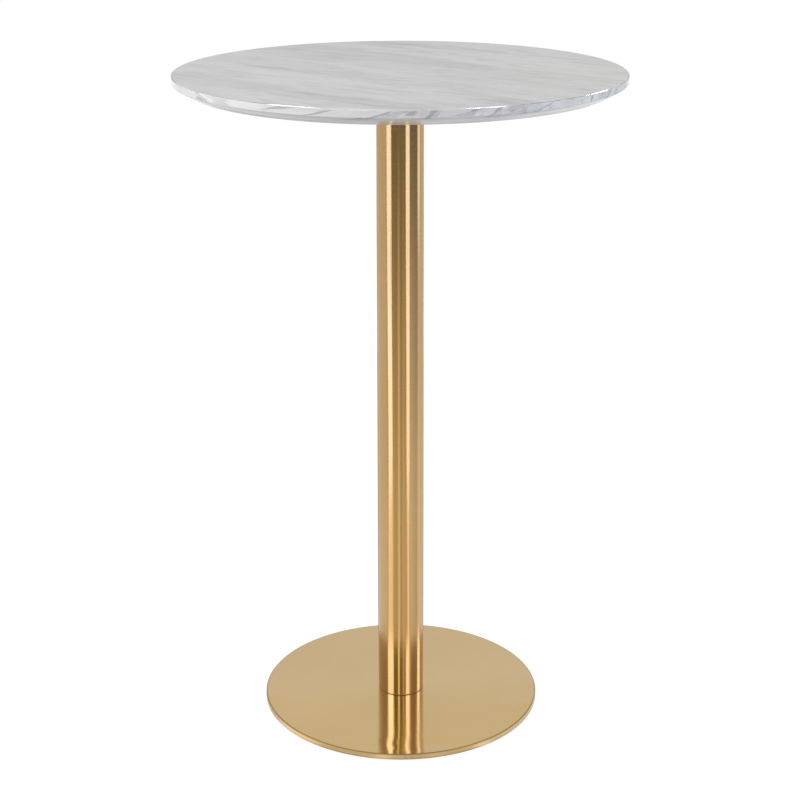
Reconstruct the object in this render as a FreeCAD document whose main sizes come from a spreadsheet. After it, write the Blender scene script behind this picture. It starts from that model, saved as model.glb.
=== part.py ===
import FreeCAD, Part
import os
import re

import Sketcher

# Round bar table: a marble-look top with an undercut edge, on a gold tube and a weighted gold disc base.
# Millimetres, +Z up. The origin is on the floor, under the middle of the column.

SIZES = {
    # table top
    "table_height": 1065,
    "top_diameter": 700,
    "top_thickness": 25,
    "edge_band": 11.5,
    "bevel_reach": 25,
    "core_edge_radius": 1,
    "foil_thickness": 0.5,
    "backing_thickness": 0.6,
    # screws that hold the top to its plate
    "insert_diameter": 12,
    "insert_length": 13,
    "insert_clearance": 0.05,
    "insert_end_room": 1,
    "screw_diameter": 6,
    "screw_length": 16,
    "screw_head_diameter": 10.5,
    "screw_head_height": 3.3,
    "screw_face_diameter": 6.5,
    "screw_head_rim": 0.8,
    "screw_socket": 4,
    "screw_socket_depth": 2,
    "screw_hole_clearance": 0.5,
    "screw_circle": 260,
    "screw_count": 6,
    "washer_diameter": 14,
    "washer_thickness": 1.2,
    "washer_clearance": 0.2,
    # mounting plate
    "plate_diameter": 300,
    "plate_thickness": 5,
    "plate_chamfer": 1,
    # column and the bolts at its two ends
    "column_diameter": 76,
    "column_wall": 1.2,
    "column_chamfer": 0.4,
    "plug_thickness": 12,
    "plug_clearance": 0.1,
    "bolt_diameter": 8,
    "bolt_head_diameter": 16,
    "bolt_socket": 5,
    "bolt_socket_depth": 3,
    "bolt_circle": 44,
    "bolt_count": 4,
    "bolt_hole_clearance": 0.5,
    "countersink_clearance": 0.1,
    "head_bolt_length": 16,
    "base_bolt_length": 20,
    "thread_clearance": 0.05,
    # base
    "base_diameter": 460,
    "cover_thickness": 1,
    "cover_bend_radius": 1,
    "weight_thickness": 8,
    "weight_clearance": 0.3,
    # levelling glides
    "glide_circle": 380,
    "glide_count": 4,
    "glide_start_angle": 45,
    "pad_diameter": 32,
    "pad_floor": 1.2,
    "pad_lip": 1,
    "pad_chamfer": 0.6,
    "pad_clearance": 0.3,
    "pad_key_hole": 6.5,
    "stem_diameter": 8,
    "stem_chamfer": 0.8,
    "stem_end_room": 0.5,
    "stem_socket": 4,
    "stem_socket_depth": 5,
    "collar_diameter": 15,
    "collar_thickness": 1.2,
    "collar_clearance": 0.15,
}

# Heights above the floor and radii that several pieces share, worked out from the sizes above.
SHARED = {
    "pad_cavity_top": "pad_floor + collar_thickness + 2 * collar_clearance",
    "pad_height": "pad_cavity_top + pad_lip",
    "weight_bottom": "pad_height + pad_clearance",
    "weight_top": "weight_bottom + weight_thickness",
    "cover_top": "weight_top + cover_thickness",
    "top_underside": "table_height - top_thickness",
    "column_top": "top_underside - plate_thickness",
    "screw_seat": "column_top - washer_thickness",
    "top_radius": "top_diameter / 2",
    "core_top": "table_height - foil_thickness",
    "core_bottom": "top_underside + backing_thickness",
    "core_radius": "top_radius - foil_thickness",
    "bevel_top": "table_height - edge_band",
    "bevel_slope": "bevel_reach / (top_thickness - edge_band)",
    "bevel_foil": "foil_thickness * sqrt(1 + bevel_slope * bevel_slope)",
    "underside_radius": "top_radius - bevel_reach",
    "backing_radius": "underside_radius - bevel_foil",
    "core_bottom_radius": "backing_radius + bevel_slope * backing_thickness",
    "core_bevel_top": "bevel_top + (bevel_foil - foil_thickness) / bevel_slope",
    "insert_top": "top_underside + insert_length",
    "insert_hole_radius": "insert_diameter / 2 + insert_clearance",
    "tube_bore_radius": "column_diameter / 2 - column_wall",
    "plug_radius": "tube_bore_radius - plug_clearance",
    "bolt_radius": "bolt_diameter / 2",
    "bolt_head_radius": "bolt_head_diameter / 2",
    "bolt_cone": "bolt_head_radius - bolt_radius",
    "bolt_hole_radius": "bolt_radius + bolt_hole_clearance",
    "bolt_thread_radius": "bolt_radius + thread_clearance",
    "countersink_radius": "bolt_head_radius + countersink_clearance",
    "countersink_depth": "countersink_radius - bolt_hole_radius",
    "base_radius": "base_diameter / 2",
    "rim_bore_radius": "base_radius - cover_thickness",
    "weight_radius": "rim_bore_radius - weight_clearance",
    "stem_radius": "stem_diameter / 2 - thread_clearance",
    "stem_top": "weight_top - stem_end_room",
    "collar_bottom": "pad_floor + collar_clearance",
    "collar_top": "collar_bottom + collar_thickness",
}

FULL_TURN = 360
HEXAGON = 6
TOLERANCE = 0.001

doc = FreeCAD.newDocument("RoundBarTable")
sheet = doc.addObject("Spreadsheet::Sheet", "Sizes")
for row, (size, value) in enumerate(SIZES.items(), start=1):
    sheet.set(f"A{row}", size)
    sheet.set(f"B{row}", str(value))
    sheet.setAlias(f"B{row}", size)
doc.recompute()


# An expression in which each size is read from the sheet and each shared value is written out.
def bound(formula):
    def swap(found):
        word = found.group()
        if word in SHARED:
            return f"({bound(SHARED[word])})"
        return f"{sheet.Name}.{word}" if word in SIZES else word

    return re.sub(r"[a-z_]+", swap, formula)


def number(formula):
    return float(sheet.evalExpression(bound(formula)))


def origin_feature(body, role):
    return next(feature for feature in body.Origin.OriginFeatures if feature.Role == role)


def new_body(label):
    body = doc.addObject("PartDesign::Body", label)
    body.Label = label
    return body


# Holds a sketch point at a distance from the sketch's two axes, or on them.
def place_point(sketch, line, end, across, up):
    ways = (("DistanceX", -2, across), ("DistanceY", -1, up))
    for way, axis, formula in ways:
        if formula == "0":
            sketch.addConstraint(Sketcher.Constraint("PointOnObject", line, end, axis))
            continue
        index = sketch.addConstraint(Sketcher.Constraint(way, -1, 1, line, end, number(formula)))
        name = f"{way}_{line}_{end}"
        sketch.renameConstraint(index, name)
        sketch.setExpression(f"Constraints.{name}", bound(formula))


# A half section: corners are (radius, height) pairs about an axis that stands `offset` from the middle.
def half_section(body, name, corners, offset="0"):
    sketch = body.newObject("Sketcher::SketchObject", name)
    sketch.AttachmentSupport = [(origin_feature(body, "XZ_Plane"), "")]
    sketch.MapMode = "FlatFace"
    if offset == "0":
        places = corners
    else:
        places = [(offset if radius == "0" else f"{offset} + {radius}", up) for radius, up in corners]
    points = [FreeCAD.Vector(number(across), number(up), 0) for across, up in places]
    count = len(points)
    for line in range(count):
        sketch.addGeometry(Part.LineSegment(points[line], points[(line + 1) % count]), False)
    for line in range(count):
        sketch.addConstraint(Sketcher.Constraint("Coincident", line, 2, (line + 1) % count, 1))
    for line, (across, up) in enumerate(places):
        place_point(sketch, line, 1, across, up)
    if offset != "0":
        last_height = places[-1][1]
        foot = FreeCAD.Vector(number(offset), 0, 0)
        head = FreeCAD.Vector(number(offset), number(last_height), 0)
        axis = sketch.addGeometry(Part.LineSegment(foot, head), True)
        place_point(sketch, axis, 1, offset, "0")
        place_point(sketch, axis, 2, offset, last_height)
    return sketch


def spin(body, kind, sketch, offset):
    feature = body.newObject(f"PartDesign::{kind}", f"{sketch.Name}{kind}")
    feature.Profile = sketch
    feature.ReferenceAxis = (sketch, ["V_Axis"] if offset == "0" else ["Axis0"])
    feature.Angle = FULL_TURN
    doc.recompute()
    return feature


def repeat_round(body, feature, count):
    pattern = body.newObject("PartDesign::PolarPattern", f"{body.Name}Ring")
    pattern.Originals = [feature]
    pattern.Axis = (origin_feature(body, "Z_Axis"), [""])
    pattern.Angle = FULL_TURN
    pattern.setExpression("Occurrences", bound(count))
    body.Tip = pattern
    doc.recompute()


def turned(label, corners):
    body = new_body(label)
    spin(body, "Revolution", half_section(body, f"{label}_section", corners), "0")
    return body


# Cuts a ring of round holes, all of the same half section.
def bore_ring(body, name, corners, circle, count):
    offset = f"{circle} / 2"
    before = body.Shape.Volume
    groove = spin(body, "Groove", half_section(body, name, corners, offset), offset)
    if before - groove.Shape.Volume < TOLERANCE:
        raise RuntimeError(f"{body.Label}: {name} cuts nothing")
    repeat_round(body, groove, count)


# A hexagon key's socket, from `bottom` up.
def hexagon_socket(body, across_flats, bottom, depth, offset="0"):
    socket = body.newObject("PartDesign::SubtractivePrism", f"{body.Name}_socket")
    socket.AttachmentSupport = [(origin_feature(body, "XY_Plane"), "")]
    socket.MapMode = "FlatFace"
    socket.Polygon = HEXAGON
    socket.setExpression("Circumradius", bound(f"{across_flats} / sqrt(3)"))
    socket.setExpression("Height", bound(depth))
    socket.setExpression("AttachmentOffset.Base.x", bound(offset))
    socket.setExpression("AttachmentOffset.Base.z", bound(bottom))
    doc.recompute()
    return socket


# A ring of equal small pieces in one node, each with an optional (across flats, bottom, depth) socket.
def ring_of_pieces(label, corners, circle, count, socket=None):
    offset = f"{circle} / 2"
    body = new_body(label)
    piece = spin(body, "Revolution", half_section(body, f"{label}_section", corners, offset), offset)
    repeat_round(body, piece, count)
    if socket:
        repeat_round(body, hexagon_socket(body, *socket, offset), count)
    return body


# Rounds the circular edges at the given (radius, height) places.
def round_edges(body, name, places, edge_radius):
    wanted = [(number(radius), number(height)) for radius, height in places]
    base = body.Tip
    chosen = []
    for index, edge in enumerate(base.Shape.Edges, start=1):
        if not isinstance(edge.Curve, Part.Circle):
            continue
        seen = (edge.Curve.Radius, edge.Curve.Center.z)
        if any(max(abs(seen[0] - r), abs(seen[1] - z)) < TOLERANCE for r, z in wanted):
            chosen.append(f"Edge{index}")
    fillet = body.newObject("PartDesign::Fillet", name)
    fillet.Base = (base, chosen)
    fillet.setExpression("Radius", bound(edge_radius))
    doc.recompute()


def straight_hole(radius, bottom, top):
    return [("0", bottom), (radius, bottom), (radius, top), ("0", top)]


def ring_section(inner, outer, bottom, top):
    return [(inner, bottom), (outer, bottom), (outer, top), (inner, top)]


# The table top: foil outside, board inside, backing sheet below.
def make_top():
    outer_edges = [("top_radius", "table_height"), ("top_radius", "bevel_top")]
    inner_edges = [("core_radius", "core_top"), ("core_radius", "core_bevel_top")]
    foil = turned("marble_foil", [
        ("0", "core_top"),
        *inner_edges,
        ("backing_radius", "top_underside"),
        ("underside_radius", "top_underside"),
        *reversed(outer_edges),
        ("0", "table_height"),
    ])
    round_edges(foil, "foil_outer_edges", outer_edges, "core_edge_radius + foil_thickness")
    round_edges(foil, "foil_inner_edges", inner_edges, "core_edge_radius")

    core = turned("top_core", [
        ("0", "core_bottom"),
        ("core_bottom_radius", "core_bottom"),
        *reversed(inner_edges),
        ("0", "core_top"),
    ])
    round_edges(core, "core_edges", inner_edges, "core_edge_radius")
    insert_hole = straight_hole("insert_hole_radius", "core_bottom", "insert_top + insert_end_room")
    bore_ring(core, "insert_holes", insert_hole, "screw_circle", "screw_count")

    backing = turned("backing_sheet", [
        ("0", "top_underside"),
        ("backing_radius", "top_underside"),
        ("core_bottom_radius", "core_bottom"),
        ("0", "core_bottom"),
    ])
    backing_hole = straight_hole("insert_hole_radius", "top_underside", "core_bottom")
    bore_ring(backing, "backing_holes", backing_hole, "screw_circle", "screw_count")
    return [foil, core, backing]


# What fastens the top to the head of the column.
def make_top_fastening():
    plate = turned("mounting_plate", [
        ("0", "column_top"),
        ("plate_diameter / 2 - plate_chamfer", "column_top"),
        ("plate_diameter / 2", "column_top + plate_chamfer"),
        ("plate_diameter / 2", "top_underside"),
        ("0", "top_underside"),
    ])
    bore_ring(plate, "bolt_holes", [
        ("0", "column_top"),
        ("bolt_hole_radius", "column_top"),
        ("bolt_hole_radius", "top_underside - countersink_depth"),
        ("countersink_radius", "top_underside"),
        ("0", "top_underside"),
    ], "bolt_circle", "bolt_count")
    screw_hole = straight_hole("screw_diameter / 2 + screw_hole_clearance", "column_top", "top_underside")
    bore_ring(plate, "screw_holes", screw_hole, "screw_circle", "screw_count")

    inserts = ring_of_pieces("threaded_inserts", ring_section(
        "screw_diameter / 2 + thread_clearance", "insert_diameter / 2", "top_underside", "insert_top",
    ), "screw_circle", "screw_count")
    washers = ring_of_pieces("mounting_washers", ring_section(
        "screw_diameter / 2 + washer_clearance", "washer_diameter / 2", "screw_seat", "column_top",
    ), "screw_circle", "screw_count")
    screws = ring_of_pieces("mounting_screws", [
        ("0", "screw_seat - screw_head_height"),
        ("screw_face_diameter / 2", "screw_seat - screw_head_height"),
        ("screw_head_diameter / 2", "screw_seat - screw_head_rim"),
        ("screw_head_diameter / 2", "screw_seat"),
        ("screw_diameter / 2", "screw_seat"),
        ("screw_diameter / 2", "screw_seat + screw_length"),
        ("0", "screw_seat + screw_length"),
    ], "screw_circle", "screw_count", ("screw_socket", "screw_seat - screw_head_height", "screw_socket_depth"))
    return [plate, inserts, washers, screws]


# The tube, the discs welded into its ends and the bolts that go into them.
def make_column():
    tube = turned("column_tube", [
        ("tube_bore_radius", "cover_top"),
        ("column_diameter / 2 - column_chamfer", "cover_top"),
        ("column_diameter / 2", "cover_top + column_chamfer"),
        ("column_diameter / 2", "column_top - column_chamfer"),
        ("column_diameter / 2 - column_chamfer", "column_top"),
        ("tube_bore_radius", "column_top"),
    ])
    pieces = [tube]
    ends = (
        ("head_plug", "column_top - plug_thickness", "column_top"),
        ("foot_plug", "cover_top", "cover_top + plug_thickness"),
    )
    for label, bottom, top in ends:
        plug = turned(label, straight_hole("plug_radius", bottom, top))
        thread = straight_hole("bolt_thread_radius", bottom, top)
        bore_ring(plug, f"{label}_threads", thread, "bolt_circle", "bolt_count")
        pieces.append(plug)
    head_bolts = ring_of_pieces("head_bolts", [
        ("0", "top_underside - head_bolt_length"),
        ("bolt_radius", "top_underside - head_bolt_length"),
        ("bolt_radius", "top_underside - bolt_cone"),
        ("bolt_head_radius", "top_underside"),
        ("0", "top_underside"),
    ], "bolt_circle", "bolt_count", ("bolt_socket", "top_underside - bolt_socket_depth", "bolt_socket_depth"))
    base_bolts = ring_of_pieces("base_bolts", [
        ("0", "weight_bottom"),
        ("bolt_head_radius", "weight_bottom"),
        ("bolt_radius", "weight_bottom + bolt_cone"),
        ("bolt_radius", "weight_bottom + base_bolt_length"),
        ("0", "weight_bottom + base_bolt_length"),
    ], "bolt_circle", "bolt_count", ("bolt_socket", "weight_bottom", "bolt_socket_depth"))
    return [*pieces, head_bolts, base_bolts]


# The sheet cover and the steel disc inside it.
def make_base():
    cover = turned("base_cover", [
        ("0", "weight_top"),
        ("rim_bore_radius", "weight_top"),
        ("rim_bore_radius", "weight_bottom"),
        ("base_radius", "weight_bottom"),
        ("base_radius", "cover_top"),
        ("0", "cover_top"),
    ])
    round_edges(cover, "rim_outside", [("base_radius", "cover_top")], "cover_bend_radius + cover_thickness")
    round_edges(cover, "rim_inside", [("rim_bore_radius", "weight_top")], "cover_bend_radius")
    cover_hole = straight_hole("bolt_hole_radius", "weight_top", "cover_top")
    bore_ring(cover, "cover_holes", cover_hole, "bolt_circle", "bolt_count")

    weight = turned("base_weight", [
        ("0", "weight_bottom"),
        ("weight_radius", "weight_bottom"),
        ("weight_radius", "weight_top - cover_bend_radius"),
        ("weight_radius - cover_bend_radius", "weight_top"),
        ("0", "weight_top"),
    ])
    bore_ring(weight, "countersunk_holes", [
        ("0", "weight_bottom"),
        ("countersink_radius", "weight_bottom"),
        ("bolt_hole_radius", "weight_bottom + countersink_depth"),
        ("bolt_hole_radius", "weight_top"),
        ("0", "weight_top"),
    ], "bolt_circle", "bolt_count")
    for index in range(round(number("glide_count"))):
        drill_glide_hole(weight, index)
    return [cover, weight]


def glide_angle(index):
    return f"(glide_start_angle + {index} * {FULL_TURN} / glide_count)"


# One threaded hole right through the weight, over its glide.
def drill_glide_hole(weight, index):
    hole = weight.newObject("PartDesign::SubtractiveCylinder", f"glide_thread_{index + 1}")
    hole.AttachmentSupport = [(origin_feature(weight, "XY_Plane"), "")]
    hole.MapMode = "FlatFace"
    hole.setExpression("Radius", bound("stem_diameter / 2"))
    hole.setExpression("Height", bound("weight_thickness"))
    hole.setExpression("AttachmentOffset.Base.x", bound(f"glide_circle / 2 * cos({glide_angle(index)})"))
    hole.setExpression("AttachmentOffset.Base.y", bound(f"glide_circle / 2 * sin({glide_angle(index)})"))
    hole.setExpression("AttachmentOffset.Base.z", bound("weight_bottom"))
    doc.recompute()


# The levelling glides: a pad, and a stem whose collar is caught in the pad.
def make_glides():
    pieces = []
    for index in range(round(number("glide_count"))):
        pad = turned(f"glide_pad_{index + 1}", [
            ("pad_key_hole / 2", "0"),
            ("pad_diameter / 2 - pad_chamfer", "0"),
            ("pad_diameter / 2", "pad_chamfer"),
            ("pad_diameter / 2", "pad_height"),
            ("stem_radius + collar_clearance", "pad_height"),
            ("stem_radius + collar_clearance", "pad_cavity_top"),
            ("collar_diameter / 2 + collar_clearance", "pad_cavity_top"),
            ("collar_diameter / 2 + collar_clearance", "pad_floor"),
            ("pad_key_hole / 2", "pad_floor"),
        ])
        stem = turned(f"glide_stem_{index + 1}", [
            ("0", "collar_bottom"),
            ("collar_diameter / 2", "collar_bottom"),
            ("collar_diameter / 2", "collar_top"),
            ("stem_radius", "collar_top"),
            ("stem_radius", "stem_top - stem_chamfer"),
            ("stem_radius - stem_chamfer", "stem_top"),
            ("0", "stem_top"),
        ])
        hexagon_socket(stem, "stem_socket", "collar_bottom", "stem_socket_depth")
        for piece in (pad, stem):
            piece.setExpression("Placement.Base.x", bound(f"glide_circle / 2 * cos({glide_angle(index)})"))
            piece.setExpression("Placement.Base.y", bound(f"glide_circle / 2 * sin({glide_angle(index)})"))
            pieces.append(piece)
    return pieces


def check(pieces):
    for thing in doc.Objects:
        if "Invalid" in thing.State or "Error" in thing.State:
            raise RuntimeError(f"{thing.Label} did not compute: {thing.State}")
    for piece in pieces:
        if piece.Shape.isNull() or not piece.Shape.isValid():
            raise RuntimeError(f"{piece.Label} has no valid shape")


nodes = [*make_top(), *make_top_fastening(), *make_column(), *make_base(), *make_glides()]
doc.recompute()
check(nodes)

os.makedirs("parts", exist_ok=True)
for node in nodes:
    node.Shape.exportStep(f"parts/{node.Label}.step")
    print(f"{node.Label}: {len(node.Shape.Solids)} solids, {node.Shape.Volume / 1000:.2f} cm3")
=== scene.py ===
import math

import bmesh
import bpy
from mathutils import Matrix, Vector


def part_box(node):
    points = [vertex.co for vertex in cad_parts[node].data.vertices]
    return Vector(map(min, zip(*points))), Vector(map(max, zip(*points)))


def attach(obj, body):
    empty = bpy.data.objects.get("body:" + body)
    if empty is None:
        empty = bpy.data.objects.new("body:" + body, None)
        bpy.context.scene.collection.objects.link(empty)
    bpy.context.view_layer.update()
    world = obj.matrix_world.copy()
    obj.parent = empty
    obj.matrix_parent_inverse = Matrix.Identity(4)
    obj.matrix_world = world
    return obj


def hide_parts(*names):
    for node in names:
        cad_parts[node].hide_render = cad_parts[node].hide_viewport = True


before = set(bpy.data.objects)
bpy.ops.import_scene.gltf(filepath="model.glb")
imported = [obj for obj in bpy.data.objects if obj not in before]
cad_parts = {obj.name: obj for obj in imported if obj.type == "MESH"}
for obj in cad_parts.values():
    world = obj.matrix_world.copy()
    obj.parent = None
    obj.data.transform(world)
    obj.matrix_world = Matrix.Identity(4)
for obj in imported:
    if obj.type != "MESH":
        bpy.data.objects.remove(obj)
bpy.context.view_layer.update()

scene = bpy.context.scene
scene.view_settings.view_transform = "Standard"
mm = 0.001
print("frame loaded:", len(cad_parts), "nodes")


# small helpers for node trees

noiseRange = (0.3, 0.7)      # most of a noise lies between these
noiseMiddle = 0.5


def addNode(tree, kind, values=None, **settings):
    made = tree.nodes.new(kind)
    for name, value in settings.items():
        setattr(made, name, value)
    for key, value in (values or {}).items():
        if isinstance(value, bpy.types.NodeSocket):
            tree.links.new(value, made.inputs[key])
        else:
            made.inputs[key].default_value = value
    return made


def maths(tree, operation, first, second=0.0):
    return addNode(tree, "ShaderNodeMath", {0: first, 1: second}, operation=operation).outputs[0]


def times(tree, *factors):
    total = factors[0]
    for factor in factors[1:]:
        total = maths(tree, "MULTIPLY", total, factor)
    return total


def scaled(tree, value, low, high, start=0.0, end=1.0, easing="LINEAR"):
    return addNode(tree, "ShaderNodeMapRange", {
        "Value": value, "From Min": low, "From Max": high, "To Min": start, "To Max": end,
    }, interpolation_type=easing).outputs[0]


def ramp(tree, value, low, high, start=0.0, end=1.0):
    # smooth step of value between low and high
    return scaled(tree, value, low, high, start, end, "SMOOTHSTEP")


def mixColour(tree, factor, first, second, mode="MIX"):
    values = {0: factor, 6: first, 7: second}      # 6 and 7 are its colour sockets
    return addNode(tree, "ShaderNodeMix", values, data_type="RGBA", blend_type=mode).outputs[2]


def noise(tree, vector, scale=1.0, detail=2.0, roughness=0.5):
    return addNode(tree, "ShaderNodeTexNoise", {
        "Vector": vector, "Scale": scale, "Detail": detail, "Roughness": roughness,
    }).outputs["Fac"]


def stretched(tree, vector, scale, turn=(0, 0, 0), move=(0, 0, 0)):
    return addNode(tree, "ShaderNodeMapping", {
        "Vector": vector, "Scale": scale, "Rotation": turn, "Location": move,
    }).outputs[0]


def bumped(tree, height, strength, distance):
    return addNode(tree, "ShaderNodeBump", {
        "Height": height, "Strength": strength, "Distance": distance,
    }).outputs[0]


def axesOf(tree, vector):
    return addNode(tree, "ShaderNodeSeparateXYZ", {0: vector}).outputs


def joined(tree, x, y, z=0.0):
    return addNode(tree, "ShaderNodeCombineXYZ", {0: x, 1: y, 2: z}).outputs[0]


def lengthOf(tree, vector):
    return addNode(tree, "ShaderNodeVectorMath", {0: vector}, operation="LENGTH").outputs["Value"]


def bearingOf(tree, x, y):
    # degrees around the column: 0 towards the camera, 90 to the right
    return maths(tree, "DEGREES", maths(tree, "ARCTAN2", x, times(tree, y, -1.0)))


def grey(level):
    return (level, level, level, 1.0)


def profile(tree, value, stops):
    # levels at given places along value, eased between them; the first and last stop set its ends
    places = sorted(stops)
    low, high = places[0], places[-1]
    made = addNode(tree, "ShaderNodeValToRGB", {"Fac": scaled(tree, value, low, high)})
    levels = made.color_ramp
    levels.interpolation = "EASE"
    for added in range(len(places) - 2):
        levels.elements.new(0.5)
    for element, place in zip(levels.elements, places):
        element.position = (place - low) / (high - low)
        element.color = grey(stops[place])
    return made.outputs["Color"]


def newMaterial(name):
    material = bpy.data.materials.new(name)
    material.use_nodes = True
    tree = material.node_tree
    shader = tree.nodes["Principled BSDF"]
    where = addNode(tree, "ShaderNodeTexCoord").outputs["Object"]
    return material, tree, shader, where


def feed(tree, shader, **sources):
    names = {"colour": "Base Color", "roughness": "Roughness", "normal": "Normal", "tangent": "Tangent"}
    for key, value in sources.items():
        tree.links.new(value, shader.inputs[names[key]])


# marble-look foil under lacquer

marbleLook = {
    "ground": (0.77, 0.77, 0.77, 1.0),
    "band": (0.655, 0.655, 0.66, 1.0),
    "vein": (0.33, 0.33, 0.345, 1.0),
    "white": (0.86, 0.86, 0.855, 1.0),
    "rose": (0.735, 0.70, 0.71, 1.0),
    "sand": (0.73, 0.70, 0.655, 1.0),
    "patch": (0.45, 0.45, 0.50, 1.0),
    # painted dark reflection along the rounded top edge
    "paintedArrisReflection": (0.16, 0.16, 0.17, 1.0),
    "veinTurn": math.radians(37),     # the veins run from back left to front right
    "edgeLean": 1.05,                 # how far a vein moves across as it runs down the edge
    "edgeChange": 2.0,                # and how fast the pattern changes there
    "sway": 0.06,                     # how far the veins wander in long bends
    "swayScale": (2.2, 3.0, 1.0),
    "ripple": 0.030,                  # and in short ones
    "rippleScale": (11.0, 20.0, 1.0),
    "ripplePlace": (3, 8, 0),
    "shardRipple": 0.007,             # the patches on the edge are straighter
    # distances below the top face
    "turn": (0.3 * mm, 2.5 * mm),     # from the face to the edge
    "bandEnd": (10 * mm, 12.5 * mm),
    "bevelStart": (12 * mm, 18 * mm),
    "arrisStart": (0.05 * mm, 0.3 * mm),
    "arrisEnd": (0.6 * mm, 1.1 * mm),
    # strengths
    "topShare": 0.62,                 # of the streaks on the top face
    "edgeShare": 0.50,                # and round the edge
    "bevelShare": 0.4,                # of the cuts on the bevel
    "patchLeast": 0.25,               # of the patches where they are weakest
    "arrisSides": (0.12, 0.19),       # the painted dark reflection on the arris is darkest further out than this to the left and right
    "arrisMiddle": 0.25,
    "arrisLeast": 0.6,
    # streaks: scale along and across the veins, detail, place in the noise, and where they start and are full
    "streaks": {
        "bands": (1.2, 7.0, 3.0, 2.0, 0.44, 0.62),
        "gathered": (1.3, 6.0, 2.0, 11.0, 0.47, 0.60),
        "pale": (3.2, 13.0, 4.0, 31.0, 0.48, 0.62),
        "fine": (6.0, 36.0, 4.0, 47.0, 0.46, 0.72),
        "wisps": (8.0, 32.0, 5.0, 53.0, 0.50, 0.66),
        "broken": (8.0, 22.0, 4.0, 61.0, 0.40, 0.60),
        "strokes": (13.0, 62.0, 2.0, 101.0, 0.55, 0.68),
        "strong": (3.0, 7.0, 1.0, 113.0, 0.44, 0.58),
        "clear": (8.0, 24.0, 5.0, 67.0, 0.50, 0.64),
        "flecks": (20.0, 46.0, 3.0, 91.0, 0.55, 0.66),
    },
    # slanting patches on the edge: scale along, across and down, place, and where they start and are full
    "shards": {
        "patches": (7.0, 46.0, 60.0, 71.0, 0.52, 0.57),
        "gleams": (6.0, 36.0, 50.0, 29.0, 0.53, 0.58),
        "cuts": (9.0, 100.0, 60.0, 83.0, 0.58, 0.64),
    },
    # thin veins: scale along and across, detail, place and width
    "veins": {
        "haze": (0.8, 6.0, 3.0, 5.0, 0.10),
        "long": (0.8, 6.0, 3.0, 5.0, 0.018),
        "short": (3.2, 24.0, 3.0, 17.0, 0.05),
        "hair": (6.0, 52.0, 3.0, 41.0, 0.06),
    },
    "tint": (1.6, 5.0, 1.0, 23.0),
    "tintDrift": -0.25,               # rose to the left, sand to the right
    "roseFrom": (0.52, 0.68),
    "sandFrom": (0.45, 0.28),
    # laid over the ground in this order: colour and strength
    "layers": {
        "bands": ("band", 0.75),
        "rosy": ("rose", 0.8),
        "sandy": ("sand", 0.22),
        "pale": ("white", 0.5),
        "clear": ("white", 0.40),
        "flecks": ("white", 0.30),
        "gleams": ("white", 0.40),
        "patches": ("patch", 0.50),
        "fine": ("vein", 0.12),
        "wisps": ("vein", 0.24),
        "strokes": ("vein", 0.20),
        "cuts": ("vein", 0.60),
        "haze": ("vein", 0.30),
        "long": ("vein", 0.60),
        "short": ("vein", 0.55),
        "hair": ("vein", 0.50),
        "paintedArrisReflection": ("paintedArrisReflection", 1.0),
    },
    # the lacquer
    "ior": 1.65,
    "roughness": (0.07, 0.11),
    "smearStretch": (1.0, 2.4, 1.0),
    "smearScale": 6.0,
    "peelScale": 90.0,
    "peelStrength": 0.03,
    "peelDepth": 0.1 * mm,
}


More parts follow.
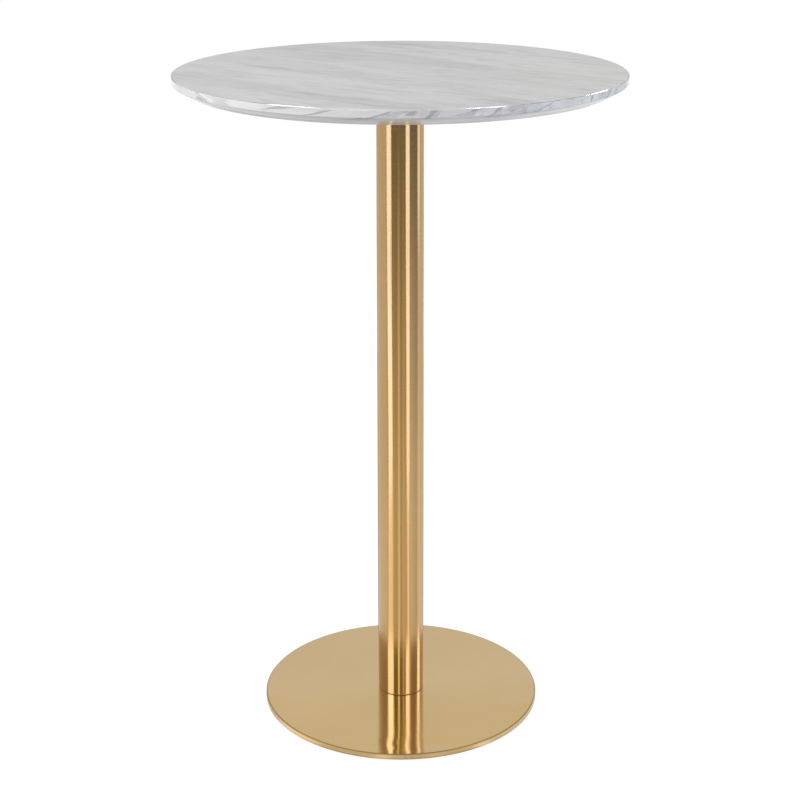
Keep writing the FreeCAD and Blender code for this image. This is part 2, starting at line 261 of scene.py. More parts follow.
def makeMarble():
    material, tree, shader, where = newMaterial("marbleFoil")
    look = marbleLook
    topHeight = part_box("marble_foil")[1].z
    turned = stretched(tree, where, (1.0, 1.0, 1.0), (0, 0, look["veinTurn"]))
    lengthwise, crosswise, height = axesOf(tree, turned)
    below = maths(tree, "SUBTRACT", topHeight, height)
    crosswise = maths(tree, "ADD", crosswise, times(tree, below, look["edgeLean"]))
    flat = joined(tree, lengthwise, crosswise)

    def wandering(lines, pattern, reach):
        off = maths(tree, "SUBTRACT", pattern, noiseMiddle)
        return maths(tree, "ADD", lines, times(tree, off, reach))

    sway = noise(tree, stretched(tree, flat, look["swayScale"]), detail=1.0)
    rippling = stretched(tree, flat, look["rippleScale"], move=look["ripplePlace"])
    ripple = noise(tree, rippling, detail=3.0, roughness=0.6)
    bends = wandering(wandering(crosswise, sway, look["sway"]), ripple, look["ripple"])
    flow = joined(tree, lengthwise, bends, times(tree, below, look["edgeChange"]))
    slanted = joined(tree, lengthwise, wandering(crosswise, ripple, look["shardRipple"]), below)

    def placed(vector, scale, place):
        # each pattern has a part of the noise of its own
        return stretched(tree, vector, scale, move=(place, place * 0.7, 0))

    def flowing(along, side, detail, place):
        return noise(tree, placed(flow, (along, side, side), place), detail=detail, roughness=0.55)

    def streak(name, least=0.0):
        *shape, low, high = look["streaks"][name]
        return ramp(tree, flowing(*shape), low, high, least)

    def shard(name):
        *scale, place, low, high = look["shards"][name]
        return ramp(tree, noise(tree, placed(slanted, scale, place), roughness=0.4), low, high)

    def vein(name):
        # thin lines where the streaks pass through their middle value
        *shape, width = look["veins"][name]
        off = maths(tree, "ABSOLUTE", maths(tree, "SUBTRACT", flowing(*shape), noiseMiddle))
        return ramp(tree, off, 0.0, width, 1.0, 0.0)

    share = ramp(tree, below, *look["turn"], look["topShare"], look["edgeShare"])
    onFace = ramp(tree, below, *look["turn"], 1.0, 0.0)
    offFace = ramp(tree, below, *look["turn"])
    onBand = times(tree, offFace, ramp(tree, below, *look["bandEnd"], 1.0, 0.0))
    onEdge = times(tree, offFace, ramp(tree, below, *look["bevelStart"], 1.0, look["bevelShare"]))
    # where the painted dark reflection lies on the arris, darkest towards the left and right sides
    arrisReflectionBand = ramp(tree, below, *look["arrisStart"])
    arrisReflectionBand = times(tree, arrisReflectionBand, ramp(tree, below, *look["arrisEnd"], 1.0, 0.0))
    sideways = axesOf(tree, where)[0]
    arrisReflectionSides = ramp(tree, maths(tree, "ABSOLUTE", sideways), *look["arrisSides"], look["arrisMiddle"], 1.0)
    tint = maths(tree, "ADD", flowing(*look["tint"]), times(tree, sideways, look["tintDrift"]))
    bands = times(tree, streak("bands"), share)
    gathered = times(tree, streak("gathered"), share)
    broken = streak("broken")
    masks = {
        "bands": bands,
        "rosy": ramp(tree, tint, *look["roseFrom"]),
        "sandy": ramp(tree, tint, *look["sandFrom"]),
        "pale": times(tree, streak("pale"), share),
        "clear": times(tree, streak("clear"), share),
        "flecks": times(tree, streak("flecks"), onFace),
        "gleams": times(tree, shard("gleams"), onBand),
        "patches": times(tree, shard("patches"), streak("strong", look["patchLeast"]), onBand),
        "fine": times(tree, streak("fine"), share),
        "wisps": times(tree, streak("wisps"), onFace, share),
        "strokes": times(tree, streak("strokes"), onFace),
        "cuts": times(tree, shard("cuts"), onEdge),
        "haze": times(tree, vein("haze"), gathered),
        "long": times(tree, vein("long"), gathered, broken),
        "short": times(tree, vein("short"), gathered, broken),
        "hair": times(tree, vein("hair"), gathered, bands),
        # painted dark reflection on the arris, strongest at the sides and broken in places
        "paintedArrisReflection": times(tree, arrisReflectionBand, arrisReflectionSides, ramp(tree, broken, 0.0, 1.0, look["arrisLeast"], 1.0)),
    }
    colour = look["ground"]
    for name, (tone, strength) in look["layers"].items():
        colour = mixColour(tree, times(tree, masks[name], strength), colour, look[tone])

    smeared = stretched(tree, where, look["smearStretch"])
    smears = noise(tree, smeared, look["smearScale"], detail=4.0, roughness=0.6)
    peel = noise(tree, where, look["peelScale"])
    feed(tree, shader, colour=colour, roughness=scaled(tree, smears, *noiseRange, *look["roughness"]),
         normal=bumped(tree, peel, look["peelStrength"], look["peelDepth"]))
    shader.inputs["IOR"].default_value = look["ior"]
    return material


# gold-tone stainless steel

quarterTurn = 0.25


def roundAbout(tree, x, y):
    # direction around the column, for the grain of turned and ground metal
    return joined(tree, times(tree, y, -1.0), x)


def grainedMetal(shader, grain):
    shader.inputs["Metallic"].default_value = 1.0
    shader.inputs["Anisotropic"].default_value = grain
    shader.inputs["Anisotropic Rotation"].default_value = quarterTurn


tubeLook = {
    "tone": (0.68, 0.45, 0.215, 1.0),
    "deep": (0.645, 0.42, 0.195, 1.0),
    "cloudStretch": (1.0, 1.0, 0.3),
    "cloudScale": 14.0,
    "cloudRange": (0.35, 0.7),
    "joint": (0.42, 0.28, 0.13, 1.0),       # painted shadow: the dark line where the tube stands on the base
    "jointHeight": 0.7 * mm,
    "jointFull": 0.28 * mm,                 # it is full below this
    "ringStretch": (0.05, 0.05, 1.0),       # fine rings from the polishing
    "ringScale": 900.0,
    "roughness": (0.13, 0.18),
    "waveStretch": (1.0, 1.0, 0.22),
    "waveScale": 26.0,
    "waveStrength": 0.08,
    "waveDepth": 0.25 * mm,
    "grain": 0.9,
}


def makeTubeGold():
    material, tree, shader, where = newMaterial("polishedGoldTube")
    look = tubeLook
    x, y, height = axesOf(tree, where)
    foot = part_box("column_tube")[0].z
    cloud = noise(tree, stretched(tree, where, look["cloudStretch"]), look["cloudScale"], detail=3.0)
    ringed = stretched(tree, where, look["ringStretch"])
    rings = noise(tree, ringed, look["ringScale"], detail=3.0, roughness=0.6)
    waves = noise(tree, stretched(tree, where, look["waveStretch"]), look["waveScale"])
    # painted shadow at the foot of the tube, where it stands on the base
    shadowAtFoot = ramp(tree, height, foot + look["jointHeight"], foot + look["jointFull"])
    colour = mixColour(tree, ramp(tree, cloud, *look["cloudRange"]), look["tone"], look["deep"])
    colour = mixColour(tree, shadowAtFoot, colour, look["joint"])
    feed(tree, shader, colour=colour, roughness=scaled(tree, rings, *noiseRange, *look["roughness"]),
         tangent=roundAbout(tree, x, y), normal=bumped(tree, waves, look["waveStrength"], look["waveDepth"]))
    grainedMetal(shader, look["grain"])
    return material


sheetLook = {
    "tone": (0.67, 0.495, 0.285, 1.0),
    "deep": (0.64, 0.47, 0.266, 1.0),
    "cloudScale": 5.0,
    "ringScale": 900.0,                     # fine rings from the turning
    "roughness": (0.12, 0.16),
    "grain": 0.95,
    "edgeMatt": 0.22,                       # more roughness on the rolled edge of the base
    "shadeAndSeamLine": (0.30, 0.205, 0.095, 1.0),  # painted dark reflection along that edge, painted shadow at the foot of the rim, and a dark line at its seam
    # distances from the outside of the rim
    "mattFrom": (2.6 * mm, 1.4 * mm),
    "lineFrom": (2.3 * mm, 1.6 * mm),
    "lineTo": (0.6 * mm, 0.2 * mm),
    "rimFrom": (0.3 * mm, 0.1 * mm),
    "hemHeight": (0.5 * mm, 1.5 * mm),
    "seamAt": 6.5 * mm,                     # right of the middle
    "seamReach": (0.4 * mm, 0.9 * mm),
    "seamFront": (0.0, -0.1),
    "lineShare": 0.8,
    "hemShare": 0.6,
    "seamShare": 0.7,
    "waveScale": 22.0,
    "waveDepth": 0.5 * mm,                  # the sheet is wavy near its bent edge
    "waveFrom": (0.15, 0.225),
    "waveMiddle": 0.06 * mm,
    "dentAt": (0.028, -0.197),              # and has one shallow dent there, in front
    "dentReach": (0.085, 0.032),
    "dentDepth": 0.5 * mm,
}


def makeSheetGold():
    material, tree, shader, where = newMaterial("turnedGoldSheet")
    look = sheetLook
    x, y, height = axesOf(tree, where)
    low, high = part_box("base_cover")
    radius = lengthOf(tree, joined(tree, x, y))

    def atRim(reach, start=0.0, end=1.0):
        return ramp(tree, radius, high.x - reach[0], high.x - reach[1], start, end)

    rings = addNode(tree, "ShaderNodeTexNoise", {
        "W": radius, "Scale": look["ringScale"], "Detail": 3.0, "Roughness": 0.6,
    }, noise_dimensions="1D").outputs["Fac"]
    rough = scaled(tree, rings, *noiseRange, *look["roughness"])
    rough = maths(tree, "ADD", rough, atRim(look["mattFrom"], 0.0, look["edgeMatt"]))

    # painted dark reflection along the rolled edge, painted shadow at the foot of the rim, and a dark line at
    # the seam
    rolledEdgeReflection = times(tree, atRim(look["lineFrom"], 0.0, look["lineShare"]), atRim(look["lineTo"], 1.0, 0.0))
    hemLow, hemHigh = (low.z + rise for rise in look["hemHeight"])
    rimFootShadow = ramp(tree, height, hemLow, hemHigh, look["hemShare"], 0.0)
    fromSeam = maths(tree, "ABSOLUTE", maths(tree, "SUBTRACT", x, look["seamAt"]))
    seam = ramp(tree, fromSeam, *look["seamReach"], look["seamShare"], 0.0)
    seam = times(tree, seam, ramp(tree, y, *look["seamFront"]))
    onRim = times(tree, atRim(look["rimFrom"]), maths(tree, "MAXIMUM", rimFootShadow, seam))
    cloud = noise(tree, where, look["cloudScale"], detail=3.0)
    colour = mixColour(tree, ramp(tree, cloud, *noiseRange), look["tone"], look["deep"])
    colour = mixColour(tree, maths(tree, "MAXIMUM", rolledEdgeReflection, onRim), colour, look["shadeAndSeamLine"])

    rimward = ramp(tree, radius, *look["waveFrom"], look["waveMiddle"], look["waveDepth"])
    waves = times(tree, noise(tree, where, look["waveScale"], detail=1.0), rimward)
    offDent = [maths(tree, "SUBTRACT", axis, at) for axis, at in zip((x, y), look["dentAt"])]
    offDent = [maths(tree, "DIVIDE", off, reach) for off, reach in zip(offDent, look["dentReach"])]
    dent = ramp(tree, lengthOf(tree, joined(tree, *offDent)), 0.0, 1.0, look["dentDepth"], 0.0)
    relief = maths(tree, "SUBTRACT", waves, dent)
    feed(tree, shader, colour=colour, roughness=rough, tangent=roundAbout(tree, x, y),
         normal=bumped(tree, relief, strength=1.0, distance=1.0))
    grainedMetal(shader, look["grain"])
    return material


# plain finishes of the pieces underneath

plainLook = {
    "cloudScale": 22.0,
    "grainRange": (0.25, 0.75),
    "bumpStrength": 0.35,
}
# light and dark tone, least and most roughness, metal or not, scale and depth of the grain
plainFinishes = {
    "fibreboard": ((0.40, 0.27, 0.155), (0.30, 0.195, 0.105), (0.7, 0.9), 0.0, 900.0, 0.15 * mm),
    "backingSheet": ((0.70, 0.69, 0.665), (0.655, 0.645, 0.62), (0.45, 0.6), 0.0, 700.0, 0.03 * mm),
    "powderCoat": ((0.022, 0.022, 0.023), (0.016, 0.016, 0.017), (0.45, 0.6), 0.0, 1100.0, 0.10 * mm),
    "zincPlate": ((0.60, 0.60, 0.59), (0.50, 0.50, 0.50), (0.22, 0.38), 1.0, 600.0, 0.02 * mm),
    "turnedSteel": ((0.45, 0.44, 0.43), (0.36, 0.355, 0.35), (0.30, 0.45), 1.0, 500.0, 0.03 * mm),
    "turnedBrass": ((0.62, 0.42, 0.16), (0.52, 0.34, 0.12), (0.25, 0.40), 1.0, 500.0, 0.02 * mm),
    "mouldedPlastic": ((0.030, 0.030, 0.031), (0.024, 0.024, 0.025), (0.42, 0.58), 0.0, 1400.0, 0.04 * mm),
}


def makePlain(name, light, dark, roughness, metallic, grainScale, grainDepth):
    material, tree, shader, where = newMaterial(name)
    look = plainLook
    cloud = noise(tree, where, look["cloudScale"], detail=4.0, roughness=0.6)
    grain = noise(tree, where, grainScale, detail=3.0, roughness=0.6)
    colour = mixColour(tree, ramp(tree, cloud, *noiseRange), (*light, 1.0), (*dark, 1.0))
    feed(tree, shader, colour=colour, roughness=scaled(tree, grain, *look["grainRange"], *roughness),
         normal=bumped(tree, grain, look["bumpStrength"], grainDepth))
    shader.inputs["Metallic"].default_value = metallic
    return material


plain = {name: makePlain(name, *finish) for name, finish in plainFinishes.items()}
marble = makeMarble()
tubeGold = makeTubeGold()
sheetGold = makeSheetGold()
print("materials made")


# turned pieces: a half outline of (radius, height) points, spun about the column's axis

weld = 0.001 * mm      # points closer than this are merged
near = 0.01 * mm       # a ring is found to within this


def spun(outline, steps):
    mesh = bmesh.new()
    verts = [mesh.verts.new((radius, 0.0, height)) for radius, height in outline]
    edges = [mesh.edges.new(pair) for pair in zip(verts, verts[1:])]
    edges.append(mesh.edges.new((verts[-1], verts[0])))
    bmesh.ops.spin(mesh, geom=verts + edges, cent=(0, 0, 0), axis=(0, 0, 1), angle=math.tau, steps=steps,
                   use_merge=True, use_duplicate=False)
    bmesh.ops.remove_doubles(mesh, verts=mesh.verts, dist=weld)
    bmesh.ops.recalc_face_normals(mesh, faces=mesh.faces)
    return mesh


def ringOf(mesh, radius, height):
    # the edges that lie around the axis at this radius and height
    def onRing(vert):
        return abs(vert.co.xy.length - radius) < near and abs(vert.co.z - height) < near

    return [edge for edge in mesh.edges if all(onRing(vert) for vert in edge.verts)]


def roundRing(mesh, radius, height, offset, segments):
    ring = ringOf(mesh, radius, height)
    bmesh.ops.bevel(mesh, geom=ring, offset=offset, offset_type="OFFSET", segments=segments,
                    profile=0.5, affect="EDGES", material=-1)


def sharpRing(mesh, radius, height):
    for edge in ringOf(mesh, radius, height):
        edge.smooth = False


def finished(mesh, name, material, node):
    data = bpy.data.meshes.new(name)
    mesh.to_mesh(data)
    mesh.free()
    for face in data.polygons:
        face.use_smooth = True
    piece = bpy.data.objects.new(name, data)
    scene.collection.objects.link(piece)
    data.materials.append(material)
    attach(piece, "table")
    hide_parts(node)
    return piece


topSize = {
    "thickness": 25 * mm,
    "band": 11.5 * mm,         # upright part of the edge
    "reach": 25 * mm,          # how far the bevel runs in underneath
    "foil": 0.5 * mm,
    "rounding": 1.5 * mm,
    "upperSteps": 5,           # steps round the upper rounding
    "lowerSteps": 4,           # and round the one above the bevel
    "guard": 1.2 * mm,         # a ring beside each rounding keeps the faces next to it flat
    "seam": 3.2 * mm,          # the edge reaches this far onto the flat of the top
    "steps": 288,
}


def makeTop():
    size = topSize
    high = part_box("marble_foil")[1]
    radius, top = high.x, high.z
    bevelTop, bottom = top - size["band"], top - size["thickness"]
    slope = size["reach"] / (size["thickness"] - size["band"])
    skin = size["foil"] * math.sqrt(1 + slope * slope)
    away = size["rounding"] + size["guard"]
    seam, inside = radius - size["seam"], top - size["foil"]
    faceOutline = [
        (0.0, top),
        (radius / 2, top),
        (seam, top),
        (seam, inside),
        (0.0, inside),
    ]
    edgeOutline = [
        (seam, top),
        (radius - away, top),
        (radius, top),
        (radius, top - away),
        (radius, bevelTop + away),
        (radius, bevelTop),
        (radius - away * slope, bevelTop - away),
        (radius - size["reach"], bottom),
        (radius - size["reach"] - skin, bottom),
        (radius - size["foil"], bevelTop + (skin - size["foil"]) / slope),
        (radius - size["foil"], inside),
        (seam, inside),
    ]
    face = spun(faceOutline, size["steps"])
    edge = spun(edgeOutline, size["steps"])
    roundRing(edge, radius, top, size["rounding"], size["upperSteps"])
    roundRing(edge, radius, bevelTop, size["rounding"], size["lowerSteps"])
    for mesh in (face, edge):
        sharpRing(mesh, seam, top)
        sharpRing(mesh, seam, inside)
    finished(face, "marbleTop", marble, "marble_foil")
    return finished(edge, "marbleEdge", marble, "marble_foil")


columnSize = {
    "wall": 1.2 * mm,
    "chamfer": 0.4 * mm,
    "guard": 2 * mm,
    "steps": 256,
}


def makeColumn():
    low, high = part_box("column_tube")
    size = columnSize
    radius, wall, cut = high.x, size["wall"], size["chamfer"]
    outline = [
        (radius - wall, low.z),
        (radius - cut, low.z),
        (radius, low.z + cut),
        (radius, low.z + size["guard"]),
        (radius, (low.z + high.z) / 2),
        (radius, high.z - size["guard"]),
        (radius, high.z - cut),
        (radius - cut, high.z),
        (radius - wall, high.z),
    ]
    return finished(spun(outline, size["steps"]), "goldColumn", tubeGold, "column_tube")


baseSize = {
    "sheet": 1 * mm,
    "rounding": 2 * mm,
    "roundSteps": 6,
    "guard": 1.5 * mm,
    "steps": 320,
    "seamAt": sheetLook["seamAt"],
    "seamWidth": 0.6 * mm,
    "seamSide": 0.1 * mm,      # width of its sloping sides
    "seamDepth": 0.2 * mm,
    "rimSkin": 0.05 * mm,      # the outside of the rim is found to within this
}


def cutSeam(mesh, size, radius, top):
    # narrow upright groove in the rim, where the ends of its sheet meet
    def outside(vert):
        return vert.co.y < 0 and vert.co.xy.length > radius - size["rimSkin"] and vert.co.z < top

    def onRim(face):
        return all(outside(vert) for vert in face.verts)

    at, half = size["seamAt"], size["seamWidth"] / 2
    for side in (at - half, at + half):
        rim = [face for face in mesh.faces if onRim(face)]
        parts = {part for face in rim for part in (face, *face.edges, *face.verts)}
        bmesh.ops.bisect_plane(mesh, geom=list(parts), plane_co=(side, 0, 0), plane_no=(1, 0, 0))
    groove = [face for face in mesh.faces if onRim(face) and abs(face.calc_center_median().x - at) < half]
    bmesh.ops.inset_region(mesh, faces=groove, thickness=size["seamSide"], depth=-size["seamDepth"],
                           use_even_offset=True)


def makeBase():
    low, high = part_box("base_cover")
    size = baseSize
    radius, sheet = high.x, size["sheet"]
    away = size["rounding"] + size["guard"]
    outline = [
        (0.0, high.z),
        (radius / 2, high.z),
        (radius - away, high.z),
        (radius, high.z),
        (radius, high.z - away),
        (radius, low.z),
        (radius - sheet, low.z),
        (radius - sheet, high.z - sheet),
        (0.0, high.z - sheet),
    ]
    mesh = spun(outline, size["steps"])
    roundRing(mesh, radius, high.z, size["rounding"], size["roundSteps"])
    cutSeam(mesh, size, radius, high.z - size["rounding"] + near)
    finished(mesh, "goldBase", sheetGold, "base_cover")


topEdge = makeTop()
column = makeColumn()
makeBase()
print("top, column and base made")


# finishes of the CAD nodes that stay

nodeFinishes = {
    "top_core": "fibreboard",
    "backing_sheet": "backingSheet",
    "threaded_inserts": "turnedBrass",
    "mounting_plate": "powderCoat",
    "mounting_screws": "zincPlate",
    "mounting_washers": "zincPlate",
    "head_plug": "turnedSteel",
    "foot_plug": "turnedSteel",
    "head_bolts": "zincPlate",
    "base_bolts": "zincPlate",
    "base_weight": "powderCoat",
}
for index in range(1, 5):
    nodeFinishes[f"glide_pad_{index}"] = "mouldedPlastic"
    nodeFinishes[f"glide_stem_{index}"] = "zincPlate"
for node, finish in nodeFinishes.items():
    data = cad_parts[node].data
    data.materials.clear()
    data.materials.append(plain[finish])
print("finishes assigned")


# stage: floor, world, lamps and camera

floorLook = {
    "half": 14.0,
    "bounce": grey(0.24),
    "roughness": 0.6,
    "whiteGlow": 0.90,
    "shade": grey(0.22),
    # brightness in metal 1 m from the column, its change for each e-fold of the distance, and its most
    "ahead": (0.70, -0.32, 0.66),
    "aside": (0.79, -0.07, 0.85),
    "behind": (0.66, 0.42, 0.95),
    "least": 0.10,
    "under": 0.45,                     # plain underneath the base
    "underReach": (0.222, 0.232),
    "rimGlow": 0.34,                   # added close to the base
    "rimReach": (0.30, 0.24),
    # shares at bearings around the column
    "front": {-180: 0.0, -74: 0.0, -66: 1.0, 96: 1.0, 104: 0.0, 180: 0.0},
    "back": {-180: 1.0, -157: 1.0, -146: 0.0, 146: 0.0, 157: 1.0, 180: 1.0},
    "warm": {-180: 0.0, -104: 0.0, -86: 0.3, -62: 0.15, -40: 1.0, 25: 1.0, 50: 0.15, 100: 0.0, 180: 0.0},
    "warmTint": (1.0, 0.90, 0.68, 1.0),
    # paler and darker lines that run outwards: 0.5 leaves the floor as it is
    "lines": {
        -180: 0.5, -26: 0.5, -19: 0.46, -14: 0.55, -8: 0.97, -2: 0.55, 4: 0.41, 9: 0.52, 14.5: 0.65,
        20: 0.53, 27: 0.5, 44: 0.56, 51: 0.66, 56: 0.63, 72: 0.55, 82: 0.5, 89: 0.5, 97: 0.79, 106: 0.60,
        117: 0.5, 180: 0.5,
    },
    "backLines": {
        -180: 0.42, -170: 0.36, -156: 0.36, -151: 0.2, -147: 0.12, -142: 0.45, -138: 0.68, -131: 0.52,
        -120: 0.5, 124: 0.5, 131: 0.52, 138: 0.68, 142: 0.45, 147: 0.12, 151: 0.25, 156: 0.5, 180: 0.5,
    },
    "lineReach": (3.6, 4.3),
    "linesBeyond": -0.3,               # further out they are faint and turn over
    "darkest": 0.02,
    "strips": {-180: 0.0, -68: 0.0, -58: 0.52, -42: 0.56, -33: 0.0, 29: 0.0, 37: 0.62, 45: 0.0, 180: 0.0},
    "stripReach": (0.8, 1.2),
}


def makeFloor():
    material, tree, shader, where = newMaterial("paleFloor")
    look = floorLook
    x, y = axesOf(tree, where)[:2]
    away = lengthOf(tree, where)
    bearing = bearingOf(tree, x, y)
    shader.inputs["Base Color"].default_value = look["bounce"]
    shader.inputs["Roughness"].default_value = look["roughness"]

    # what polished metal sees of the floor
    logAway = maths(tree, "LOGARITHM", away, math.e)

    def around(name):
        return profile(tree, bearing, look[name])

    def fading(level, fall, most):
        value = maths(tree, "ADD", times(tree, logAway, fall), level)
        limits = {"Value": value, "Min": look["least"], "Max": most}
        return addNode(tree, "ShaderNodeClamp", limits).outputs[0]

    lines = maths(tree, "SUBTRACT", maths(tree, "ADD", around("lines"), around("backLines")), 1.0)
    lines = times(tree, lines, ramp(tree, away, *look["lineReach"], 1.0, look["linesBeyond"]))
    strips = times(tree, around("strips"), ramp(tree, away, *look["stripReach"], 1.0, 0.0))
    nearRim = ramp(tree, away, *look["rimReach"], 0.0, look["rimGlow"])
    ahead = maths(tree, "ADD", fading(*look["ahead"]), nearRim)
    level = mixColour(tree, around("front"), fading(*look["aside"]), ahead)
    level = mixColour(tree, around("back"), level, fading(*look["behind"]))
    level = maths(tree, "MAXIMUM", maths(tree, "ADD", level, lines), look["darkest"])
    level = maths(tree, "ADD", level, strips)
    outside = ramp(tree, away, *look["underReach"])
    level = mixColour(tree, outside, grey(look["under"]), level)
    warm = mixColour(tree, around("warm"), grey(1.0), look["warmTint"])
    warm = mixColour(tree, outside, grey(1.0), warm)
    mirrored = addNode(tree, "ShaderNodeEmission", {"Color": warm, "Strength": level})

    glow = addNode(tree, "ShaderNodeEmission", {"Color": grey(1.0), "Strength": look["whiteGlow"]})
    matt = addNode(tree, "ShaderNodeBsdfDiffuse", {"Color": look["shade"]})
    seen = addNode(tree, "ShaderNodeAddShader", {0: glow.outputs[0], 1: matt.outputs[0]})
    path = addNode(tree, "ShaderNodeLightPath")
    lit = addNode(tree, "ShaderNodeMixShader", {
        0: path.outputs["Is Glossy Ray"], 1: shader.outputs[0], 2: mirrored.outputs[0],
    })
    solid = addNode(tree, "ShaderNodeMixShader", {
        0: path.outputs["Is Camera Ray"], 1: lit.outputs[0], 2: seen.outputs[0],
    })
    # from underneath the floor can be looked and lit through
    behind = addNode(tree, "ShaderNodeNewGeometry").outputs["Backfacing"]
    through = times(tree, behind, path.outputs["Is Camera Ray"])
    through = maths(tree, "MAXIMUM", through, path.outputs["Is Shadow Ray"])
    clear = addNode(tree, "ShaderNodeBsdfTransparent")
    final = addNode(tree, "ShaderNodeMixShader", {0: through, 1: solid.outputs[0], 2: clear.outputs[0]})
    tree.links.new(final.outputs[0], tree.nodes["Material Output"].inputs["Surface"])
    material.cycles.emission_sampling = "NONE"

    mesh = bmesh.new()
    bmesh.ops.create_grid(mesh, x_segments=1, y_segments=1, size=look["half"])
    data = bpy.data.meshes.new("floor")
    mesh.to_mesh(data)
    mesh.free()
    data.materials.append(material)
    floor = bpy.data.objects.new("floor", data)
    scene.collection.objects.link(floor)


# what metal sees of the studio: levels at bearings, and sines of the heights that a change runs between
worldLook = {
    "once": {-180: 0.86, -120: 0.80, 120: 0.80, 180: 0.86},
    # the same by way of two pieces of metal
    "twice": {
        -180: 0.86, -132: 0.66, -100: 0.55, -80: 0.55, -60: 0.45, -25: 0.36, 12: 0.42, 20: 0.90, 27: 0.46,
        40: 0.50, 65: 0.52, 95: 0.50, 130: 0.75, 180: 0.86,
    },
    "warm": {-180: 0.0, -75: 0.0, -45: 1.0, 4: 1.0, 14: 0.0, 180: 0.0},
    "warmTint": (1.0, 0.95, 0.64, 1.0),
    # darker at the horizon in front and behind: where, the heights over which that ends, and how much
    "dim": {-180: 0.0, -75: 0.0, -50: 1.0, 90: 1.0, 112: 0.0, 180: 0.0},
    "dimOnce": (0.08, 0.25, 0.40, 0.0),
    "dimTwice": (0.04, 0.42, 0.75, 0.0),
    "back": {-180: 1.0, -160: 1.0, -138: 0.0, 138: 0.0, 160: 1.0, 180: 1.0},
    "dimBack": (0.22, 0.36, 0.45, 0.0),
    # pale strips and one yellow line, only by way of two pieces of metal
    "strips": {
        -180: 0.0, -74: 0.0, -66: 1.0, -42: 1.0, -35: 0.0, 8.5: 0.0, 12: 0.42, 15.5: 0.0,
        24: 0.0, 29: 1.0, 38: 1.0, 50: 0.2, 58: 0.0,
        92: 0.0, 98: 0.95, 110: 0.95, 118: 0.0, 180: 0.0,
    },
    "stripGlow": (3.1, 3.9, 6.0, 1.0),
    "stripFrom": (0.28, 0.36),
    "stripTo": (0.62, 0.72, 1.0, 0.0),
    "line": {-180: 0.0, -17: 0.0, -10.5: 1.0, -4: 0.0, 180: 0.0},
    "lineFrom": (0.30, 0.40),
    "lineGlow": (2.5, 3.6, 2.2, 1.0),
    # the tint of the light changes with its height
    "coolTint": (1.0, 1.015, 1.17, 1.0),
    "coolFrom": (0.34, 0.43),
    "highTint": (1.0, 0.955, 0.62, 1.0),
    "highFrom": (0.445, 0.51),
    "highTwice": (1.0, 0.96, 0.80, 1.0),
    "highTwiceFrom": (0.43, 0.53),
    "overhead": grey(0.80),
    "overheadFrom": (0.60, 0.88),
    "ambient": grey(0.47),             # what lights everything that isn't a mirror
}


def makeWorld():
    world = bpy.data.worlds.new("studio")
    scene.world = world
    world.use_nodes = True
    world.cycles.sampling_method = "NONE"
    tree = world.node_tree
    look = worldLook
    x, y, height = axesOf(tree, addNode(tree, "ShaderNodeTexCoord").outputs["Generated"])
    bearing = bearingOf(tree, x, y)
    path = addNode(tree, "ShaderNodeLightPath")
    # by way of two pieces of metal
    twice = maths(tree, "GREATER_THAN", path.outputs["Glossy Depth"], 1.5)

    def around(name):
        return profile(tree, bearing, look[name])

    def upward(name):
        return ramp(tree, height, *look[name])

    colour = mixColour(tree, twice, around("once"), around("twice"))
    tint = mixColour(tree, upward("coolFrom"), grey(1.0), look["coolTint"])
    tint = mixColour(tree, upward("highFrom"), tint, look["highTint"])
    tintTwice = mixColour(tree, upward("highTwiceFrom"), grey(1.0), look["highTwice"])
    colour = mixColour(tree, 1.0, colour, mixColour(tree, twice, tint, tintTwice), "MULTIPLY")
    colour = mixColour(tree, times(tree, around("warm"), twice), colour, look["warmTint"], "MULTIPLY")
    dim = mixColour(tree, twice, upward("dimOnce"), upward("dimTwice"))
    colour = mixColour(tree, times(tree, around("dim"), dim), colour, grey(0.0))
    colour = mixColour(tree, times(tree, around("back"), upward("dimBack")), colour, grey(0.0))
    strips = times(tree, around("strips"), upward("stripFrom"), upward("stripTo"), twice)
    colour = mixColour(tree, strips, colour, look["stripGlow"])
    line = times(tree, around("line"), upward("lineFrom"), twice)
    colour = mixColour(tree, line, colour, look["lineGlow"])
    colour = mixColour(tree, upward("overheadFrom"), colour, look["overhead"])
    colour = mixColour(tree, path.outputs["Is Glossy Ray"], look["ambient"], colour)
    colour = mixColour(tree, path.outputs["Is Camera Ray"], colour, grey(1.0))
    tree.links.new(colour, tree.nodes["Background"].inputs["Color"])


plainGlow, paleGlow, coolGlow = (1.0, 1.0, 1.0), (0.92, 1.03, 1.34), (0.90, 1.03, 1.33)
# upright strips, seen only in the column: bearing, distance, width, lean, heights, glow, tint
stripLamps = {
    "leftNear": (-50.6, 0.95, 0.35, 9.5, (0.02, 0.46), 1.3, paleGlow),
    "middleNear": (36.5, 0.95, 0.25, 0, (0.02, 0.46), 1.05, coolGlow),
    "leftFar": (-55.0, 1.9, 0.80, 14.0, (0.21, 0.85), 1.57, paleGlow),
    "middleFar": (35.5, 1.9, 0.62, 0, (0.21, 0.85), 1.50, coolGlow),
    "rightFar": (96.5, 1.9, 0.48, 0, (0.38, 0.85), 1.07, coolGlow),
    "leftBack": (-165.0, 1.9, 0.34, 0, (0.02, 0.85), 0.7, coolGlow),
    "rightBack": (161.0, 1.9, 0.26, 0, (0.02, 0.85), 0.9, coolGlow),
}
# panels above, seen only in the edge of the top: place, place aimed at, width, height, lean, tint
edgeLamps = {
    "leftEdge": ((-0.862, -0.490, 2.015), (-0.151, -0.316, 1.064), 0.44, 0.60, 44.5, plainGlow),
    "middleEdge": ((0.718, -0.618, 2.064), (0.120, -0.329, 1.064), 0.37, 0.50, -39.0, coolGlow),
    "rightEdge": ((1.061, 0.500, 1.643), (0.283, -0.206, 1.064), 0.29, 0.36, -67.0, coolGlow),
}
edgeGlow = 11.0
edgeSpread = math.radians(90)
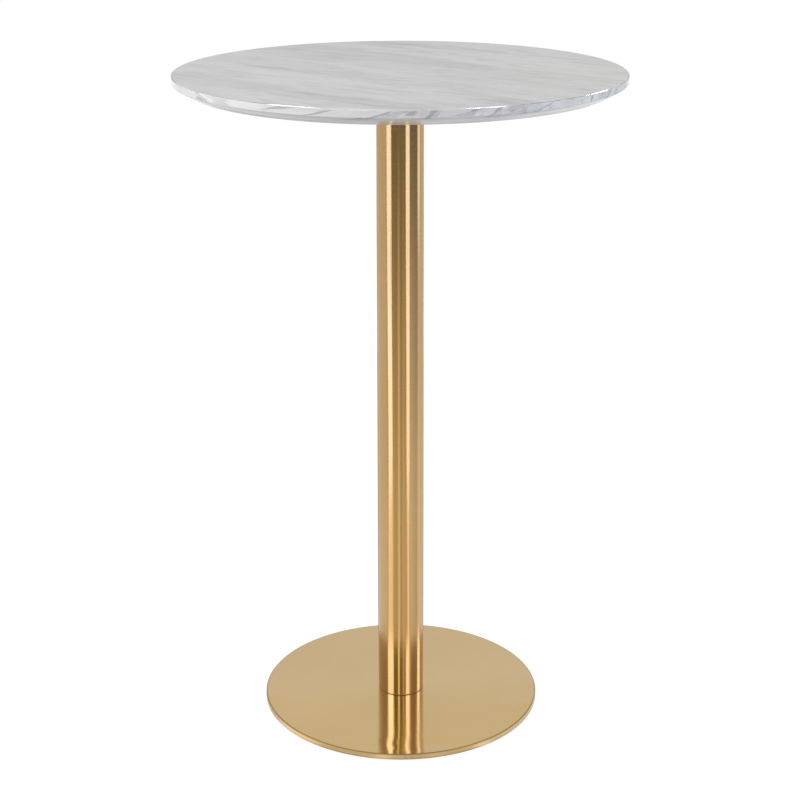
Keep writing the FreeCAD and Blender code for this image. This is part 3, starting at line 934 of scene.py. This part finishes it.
# broad soft lamps, which metal doesn't show: place, height aimed at, width, height, glow, tint
softLamps = {
    "leftKey": ((-2.0, -0.65, 1.0), 1.0, 1.3, 1.5, 3.7, (1.0, 0.995, 0.98)),
    "frontFill": ((-0.3, -3.2, 1.45), 1.45, 2.6, 1.2, 2.9, (0.99, 1.0, 1.02)),
    "rightFill": ((1.9, -0.9, 0.50), 0.50, 1.2, 1.4, 2.7, (0.86, 0.97, 1.18)),
    "above": ((0.0, 0.0, 3.0), 1.0, 2.4, 2.4, 1.3, plainGlow),
    "underneath": ((0.0, 0.0, -1.6), 0.0, 2.0, 2.0, 0.6, (1.0, 0.96, 0.90)),
}


def areaLamp(name, place, target, width, height, glow, tint):
    data = bpy.data.lights.new(name, "AREA")
    data.shape = "RECTANGLE"
    data.size = width
    data.size_y = height
    data.energy = glow * math.pi * width * height
    data.color = tint
    lamp = bpy.data.objects.new(name, data)
    scene.collection.objects.link(lamp)
    lamp.location = place
    lamp.rotation_euler = (Vector(target) - Vector(place)).to_track_quat("-Z", "Y").to_euler()
    lamp.visible_camera = False
    return lamp


def onlyLit(name, piece):
    group = bpy.data.collections.new(name)
    group.objects.link(piece)
    return group


def mirroredIn(lamp, lit, lean):
    # a lamp that shows only as a reflection in these pieces
    lamp.rotation_euler.rotate_axis("Z", math.radians(lean))
    lamp.visible_diffuse = False
    lamp.light_linking.receiver_collection = lit


def makeLamps():
    litColumn = onlyLit("litColumn", column)
    litEdge = onlyLit("litEdge", topEdge)
    for name, (bearing, away, width, lean, (low, high), glow, tint) in stripLamps.items():
        turn = math.radians(bearing)
        place = (math.sin(turn) * away, -math.cos(turn) * away, (low + high) / 2)
        lamp = areaLamp(name, place, (0, 0, place[2]), width, high - low, glow, tint)
        mirroredIn(lamp, litColumn, lean)
    for name, (place, aim, width, height, lean, tint) in edgeLamps.items():
        lamp = areaLamp(name, place, aim, width, height, edgeGlow, tint)
        lamp.data.spread = edgeSpread
        mirroredIn(lamp, litEdge, lean)
    for name, (place, aim, width, height, glow, tint) in softLamps.items():
        lamp = areaLamp(name, place, (0, 0, aim), width, height, glow, tint)
        lamp.visible_glossy = False


cameraLook = {
    "place": (-0.0007, -2.6877, 1.4671),
    "down": math.radians(17.39),
    "roll": math.radians(0.085),
    "lens": 78.644,
    "sensor": 36.0,
    "shiftY": -0.07,
}


def makeCamera():
    look = cameraLook
    data = bpy.data.cameras.new("camera")
    data.lens = look["lens"]
    data.sensor_width = look["sensor"]
    data.shift_y = look["shiftY"]
    camera = bpy.data.objects.new("camera", data)
    scene.collection.objects.link(camera)
    camera.location = look["place"]
    camera.rotation_euler = (math.pi / 2 - look["down"], 0, 0)
    camera.rotation_euler.rotate_axis("Z", -look["roll"])
    scene.camera = camera


makeFloor()
makeWorld()
makeLamps()
makeCamera()
print("stage made")
